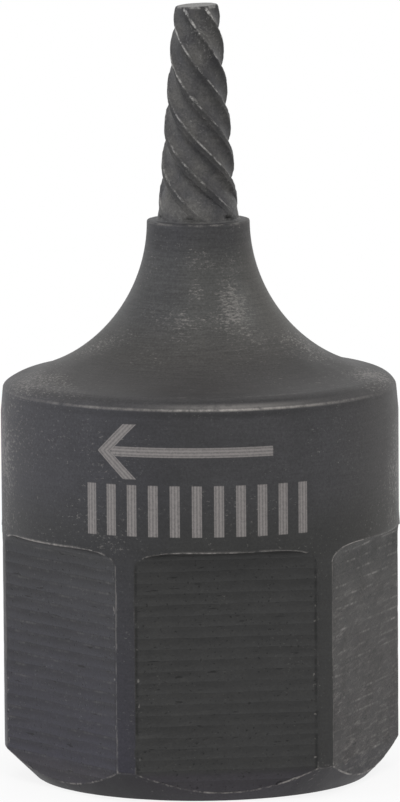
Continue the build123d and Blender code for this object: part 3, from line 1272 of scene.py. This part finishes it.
@dataclass(frozen=True)
class MilledSteel(BlackenedSteel):
    """Finish of the flats, with the rows of the feed, streaks, scratches and nicks, and painted
    light and shade by flat.
    """

    name: str = "blackened_milled"
    colour: Colour = (0.0220, 0.0221, 0.0219)
    line_pitch: float = 0.53
    line_wander: float = 0.16
    line_depth: float = 0.002
    line_shade: float = 0.25
    row_depth: float = 0.014
    row_shade: float = 0.22
    grain_shade: float = 0.2
    nick_length: float = 5.0
    nick_cover: float = 0.7
    nick_depth: float = 0.012
    scratch_cover: float = 0.7
    scratch_leans: tuple[tuple[float, float], ...] = ((0.45, 0.0), (-0.9, 20.0))
    scuff_level: float = 0.25
    edge_cover: float = 0.65
    edge_level: float = 0.8

    def cut_lines(self, place: Place) -> Lines:
        """Finds the way that the surface was cut: along each flat."""
        number = (place.angle / SECTOR).math("ROUND")
        along = (place.angle - number * SECTOR).math("TANGENT") * 8.5
        # The two halves of the back flat have one number
        number = number + number.math("LESS_THAN", -2.5) * 6.0
        return Lines(along.join(number * 7.0, place.height), along, place.height, number)

    @staticmethod
    def aside(surface: Surface) -> Wire:
        """Number of flats between this one and the one to the right of the front."""
        return abs(surface.lines.side - 1.0)

    def base(self, surface: Surface) -> Wire:
        """Colour of the oxide, with the painted light tint even over each flat."""
        turn = surface.lines.side * SECTOR
        return self.tint.on(surface.sheet, self.colour, turn, surface.place.height)

    def scuffed(self, surface: Surface) -> Wire:
        """How much of the surface is scuffed: most to the right of the front."""
        return self.aside(surface).ramp(0.0, 1.0, 0.1, 0.0) + self.scuff_cover

    def scratches(self, surface: Surface) -> list[Wire]:
        """Pale scratches that lean both ways."""
        lines, share = surface.lines, self.aside(surface).ramp(0.0, 1.0, 0.2, 0.04)
        return [
            surface.effect("crossed", Along=lines.along, Across=lines.across, Lean=lean,
                           Side=lines.side + apart, Cover=self.scratch_cover)[0] * share
            for lean, apart in self.scratch_leans
        ]

    def streaks(self, surface: Surface) -> Wire:
        """Pale streaks along the flats, most on the one to the right of the front."""
        along, across, side = surface.lines.along, surface.lines.across, surface.lines.side
        streak = (along * 0.22).join(across - along * 0.12, side).noise(3.0, 6.0, 0.85)
        lower = (across + along).ramp(-1.0, 7.0, 0.78, 0.45)
        # The cutter's corner left no room for the streaks under the ledge
        lower = lower * across.ramp(9.5, 10.5, 1.0, 0.35)
        return streak.ramp(0.52, 0.63) * lower * self.aside(surface).ramp(0.0, 1.0, 0.5, 0.05)

    def face_marks(self, surface: Surface) -> list[Wire]:
        """Pale scratches, crests of the feed and borders of a flat: least on the front flat."""
        point, from_middle = surface.place.point, abs(surface.lines.along)
        turned = abs(surface.lines.side)
        area = point.noise(0.5, 4.0, 0.65).ramp(0.42, 0.6, 0.3, 1.0)
        crest = surface.crests * area * (
            turned.ramp(0.0, 1.0, 0.04, 0.24) + self.aside(surface).ramp(0.0, 1.0, 0.55, 0.0))
        border = from_middle.spot(4.36, 0.11) * point.noise(1.1, 4.0, 0.75).ramp(0.4, 0.6)
        border = border * turned.ramp(0.0, 1.0, 0.0, 0.28)
        dots = from_middle.spot(4.22, 0.12) * point.noise(2.6, 2.0, 0.6).ramp(0.62, 0.68) * 0.45
        return [*self.scratches(surface), self.streaks(surface), crest, border, dots]

    def dark_marks(self, surface: Surface) -> Wire:
        """Nicks, pits, and the dark border of a flat."""
        lines = surface.lines
        scratch, pit = surface.effect(
            "nicks", Along=lines.along, Across=lines.across, Side=lines.side,
            Length=self.nick_length, Cover=self.nick_cover)
        broken = surface.place.point.noise(1.5, 4.0, 0.7).ramp(0.36, 0.5)
        border = abs(lines.along).spot(4.29, 0.13) * broken * abs(lines.side).ramp(
            0.0, 1.0, 1.0, 0.3)
        return scratch.largest(pit, border)

    def work(self, surface: Surface, look: Look) -> None:
        """Adds the rows of the feed, the nicks and the pale marks, and paints light and shade on
        each flat.
        """
        side, height = surface.lines.side, surface.place.height
        # Painted light and shade by flat: the left flat lighter towards its top, the flats right of
        # the front darker, also darker towards the foot, and a painted shadow of the cove under the
        # ledge
        left = side.ramp(-1.0, 0.0, 0.16, 0.0) * height.ramp(4.0, 11.0)
        right = height.ramp(1.5, 9.0, -0.4, 0.0) + height.ramp(9.6, 10.6, 0.0, -0.4)
        lift = left + side.ramp(0.0, 1.0) * right
        shade = look.shade * side.ramp(0.0, 1.0, 1.0, 0.88)
        shade = shade.math("MULTIPLY_ADD", lift, shade)
        strong = side.ramp(-1.0, 0.0, 1.2 * self.row_shade, self.row_shade)
        row = surface.rows.ramp(0.0, 1.0, 1.0, -1.0).math("MULTIPLY_ADD", strong, 1.0)
        dark = self.dark_marks(surface)
        look.shade = shade * row * dark.ramp(0.0, 1.0, 1.0, 0.35)
        look.relief = look.relief + surface.rows * self.row_depth - dark * self.nick_depth
        look.pale = look.pale.largest(*self.face_marks(surface))


@dataclass(frozen=True)
class FlutedSteel(BlackenedSteel):
    """Finish of the tip, worn along its ridges and on its end, with painted shade under each ridge
    and painted light on the rest of each flute.
    """

    name: str = "blackened_fluted"
    worn_colour: Colour = (0.36, 0.352, 0.34)
    line_depth: float = 0.002
    grain_shade: float = 0.4
    grain_depth: float = 0.006
    mottle_shade: float = 0.22
    scuff_cover: float = 0.25
    scuff_level: float = 0.4
    scuff_shape: Triple = (1.0, 1.0, 1.0)
    edge_source: str = "ridge"
    edge_stretch: float = 1.5
    edge_dash: float = 7.5
    edge_cover: float = 0.62
    edge_level: float = 1.05

    def base(self, surface: Surface) -> Wire:
        """Colour of the oxide, warmer in places."""
        share = surface.mottle.ramp(0.38, 0.6)
        return surface.sheet.mix(share, self.colour, self.warm_colour)

    def edge_wear(self, surface: Surface) -> Wire:
        """Bare metal along the ridges, more of it towards the end."""
        return super().edge_wear(surface) * surface.place.height.ramp(30.0, 36.4, 0.85, 1.2)

    def work(self, surface: Surface, look: Look) -> None:
        """Paints shade under each ridge and light on the rest of each flute, lightens the tip
        towards its root, and wears the end.
        """
        place = surface.place
        dark = surface.sheet.wire("Attribute", output="Fac", attribute_name="shade")
        # Painted shade under each ridge, and painted light on each flute's upward-facing wall
        shade = look.shade * dark.ramp(0.0, 1.0, 1.15, 0.55)
        look.shade = shade * place.height.ramp(27.5, 36.5, 1.24, 1.04)
        on_end = place.radius.ramp(0.98, 0.93) * place.height.ramp(37.0, 37.05)
        look.pale = look.pale.largest(on_end * surface.grain.ramp(0.4, 0.62, 0.22, 0.6))


FINISHES = {
    Zone.TURNED: TurnedSteel(),
    Zone.MILLED: MilledSteel(),
    Zone.FLUTED: FlutedSteel(),
    Zone.SOCKET: BlackenedSteel(),
}


@dataclass
class ScrewExtractor:
    """The whole tool."""

    body: DriveBody = field(default_factory=DriveBody)
    tip: FlutedTip = field(default_factory=FlutedTip)

    def build(self) -> bpy.types.Object:
        """Makes the mesh, hangs it under the root body and hides the imported part."""
        tool = self.body.build()
        self.tip.grow(tool)
        pick(tool)
        bpy.ops.object.shade_smooth_by_angle(angle=math.radians(24))
        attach(tool, "root")
        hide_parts("screw_extractor")
        return tool

    def zones(self, mesh: bpy.types.Mesh) -> np.ndarray:
        """Finds the zone of each face."""
        body = self.body
        centres = rows_of(mesh.polygons, "center")
        normals = rows_of(mesh.polygons, "normal")
        height, upward = centres[:, 2], normals[:, 2]
        nearest = np.round(angles(centres) / SECTOR) * SECTOR
        outward = np.column_stack([np.sin(nearest), -np.cos(nearest)])
        depth = (centres[:, :2] * outward).sum(axis=1)
        on_flat = np.abs(depth - body.across_flats / 2) < 0.9 * MM
        on_flat &= height < body.flat_length + 0.01 * MM
        on_flat &= radii(centres) < body.body_radius - 0.01 * MM
        on_flat &= np.abs(upward) < 0.95
        on_flat &= (normals[:, :2] * outward).sum(axis=1) > 0.1
        on_flat &= ~((upward < -0.3) & (height < 1.5 * MM))  # the chamfer of the foot
        zone = np.full(len(centres), Zone.TURNED.value, np.int32)
        zone[on_flat] = Zone.MILLED.value
        zone[height > self.tip.foot + 0.01 * MM] = Zone.FLUTED.value
        zone[(radii(centres) < 7.2 * MM) & (height < 15 * MM)] = Zone.SOCKET.value
        return zone

    def dress(self, tool: bpy.types.Object, groups: EffectGroups) -> None:
        """Gives each face the finish of its zone."""
        for zone in Zone:
            tool.data.materials.append(FINISHES[zone].material(groups))
        tool.data.polygons.foreach_set("material_index", self.zones(tool.data))
        tool.data.update()


# The studio


@dataclass(frozen=True)
class SoftLight:
    """One soft lamp that looks at the middle of the tool."""

    name: str
    place: Triple
    power: float
    colour: Colour
    size: float = 0.45

    def hang(self) -> None:
        """Puts the lamp in the scene."""
        lamp = bpy.data.lights.new(self.name, "AREA")
        lamp.shape = "RECTANGLE"
        lamp.size = lamp.size_y = self.size
        lamp.energy = self.power
        lamp.color = self.colour
        holder = bpy.data.objects.new(self.name, lamp)
        holder.location = self.place
        towards = Vector((0, 0, 18 * MM)) - Vector(self.place)
        holder.rotation_euler = towards.to_track_quat("-Z", "Y").to_euler()
        bpy.context.collection.objects.link(holder)


@dataclass
class Studio:
    """Plain pale floor, plain surroundings, soft lamps and the camera."""

    camera_place: Triple = (-0.05525, -0.39617, 0.07376)
    camera_turn: float = math.radians(-7.94)
    camera_pitch: float = math.radians(7.93)
    camera_roll: float = math.radians(-0.43)
    lens: float = 377.1
    sensor: float = 36.0
    shift: float = 0.0004
    surroundings: float = 0.8
    floor_colour: tuple[float, float, float, float] = (0.93, 0.93, 0.93, 1)
    floor_size: float = 6.0
    lamps: tuple[SoftLight, ...] = (
        SoftLight("lamp_left", (-0.6, -0.15, 0.12), 1.1, (0.9, 0.93, 1.0)),
        SoftLight("lamp_right", (0.6, -0.1, 0.08), 0.12, (1.0, 0.98, 0.96)),
        SoftLight("lamp_back_left", (-0.45, 0.45, 0.25), 0.18, (0.96, 0.98, 1.0)),
        SoftLight("lamp_back_right", (0.45, 0.45, 0.25), 0.15, (1.0, 0.98, 0.95)),
        SoftLight("lamp_top", (0.0, -0.4, 0.6), 1.4, (1.0, 0.985, 0.96)),
    )

    def light(self) -> None:
        """Hangs the lamps and sets the world."""
        for lamp in self.lamps:
            lamp.hang()
        world = bpy.data.worlds.new("plain_room")
        world.use_nodes = True
        sheet = Sheet(world.node_tree)
        strength = self.seen(sheet).ramp(0.0, 1.0, self.surroundings, 1.0)
        background = sheet.wire("Background", {0: (1, 1, 1, 1), 1: strength})
        sheet.add("OutputWorld", {0: background})
        bpy.context.scene.world = world

    @staticmethod
    def seen(sheet: Sheet) -> Wire:
        """One for what the camera sees straight, mirrored or through glass."""
        path = sheet.add("LightPath").outputs
        straight, mirrored, through = (
            Wire(sheet, path[f"Is {kind} Ray"]) for kind in ("Camera", "Glossy", "Transmission")
        )
        return straight.largest(mirrored, through)

    def lay_floor(self) -> None:
        """Lays the floor, white away from the tool, with the tool's shadow near it."""
        bpy.ops.object.select_all(action="DESELECT")
        bpy.ops.mesh.primitive_grid_add(x_subdivisions=8, y_subdivisions=8, size=self.floor_size)
        floor = bpy.context.object
        floor.name = "floor"
        material = bpy.data.materials.new("pale_floor")
        material.use_nodes = True
        sheet = Sheet(material.node_tree)
        shader = sheet.wire("BsdfPrincipled", {"Base Color": self.floor_colour, "Roughness": 0.8})
        white = sheet.wire("Emission", {0: (1, 1, 1, 1), 1: 1.0})
        place = sheet.wire("TexCoord", output="Object")
        far = sheet.wire("VectorMath", {0: place}, "Value", operation="LENGTH")
        away = far.ramp(10 * MM, 30 * MM, 0.86, 1.0, "SMOOTHSTEP") * self.seen(sheet)
        sheet.add("OutputMaterial", {0: sheet.wire("MixShader", {0: away, 1: shader, 2: white})})
        floor.data.materials.append(material)

    def place_camera(self) -> None:
        """Puts the camera where the picture was taken from."""
        lens = bpy.data.cameras.new("camera")
        lens.lens = self.lens
        lens.sensor_width = self.sensor
        lens.shift_x = self.shift
        camera = bpy.data.objects.new("camera", lens)
        turn = Matrix.Rotation(self.camera_turn, 4, "Z")
        tilt = Matrix.Rotation(math.pi / 2 - self.camera_pitch, 4, "X")
        roll = Matrix.Rotation(self.camera_roll, 4, "Z")
        camera.matrix_world = Matrix.Translation(self.camera_place) @ turn @ tilt @ roll
        bpy.context.collection.objects.link(camera)
        bpy.context.scene.camera = camera

    def build(self) -> None:
        """Sets the whole studio up."""
        self.lay_floor()
        self.light()
        self.place_camera()
        bpy.context.scene.view_settings.view_transform = "Standard"


def main() -> None:
    """Builds the tool, dresses it and sets it in the studio."""
    logging.basicConfig(level=logging.INFO, format="%(name)s: %(message)s")
    extractor = ScrewExtractor()
    tool = extractor.build()
    log.info("built %s: %d faces", tool.name, len(tool.data.polygons))
    extractor.dress(tool, EffectGroups())
    Studio().build()


if __name__ == "__main__":
    main()
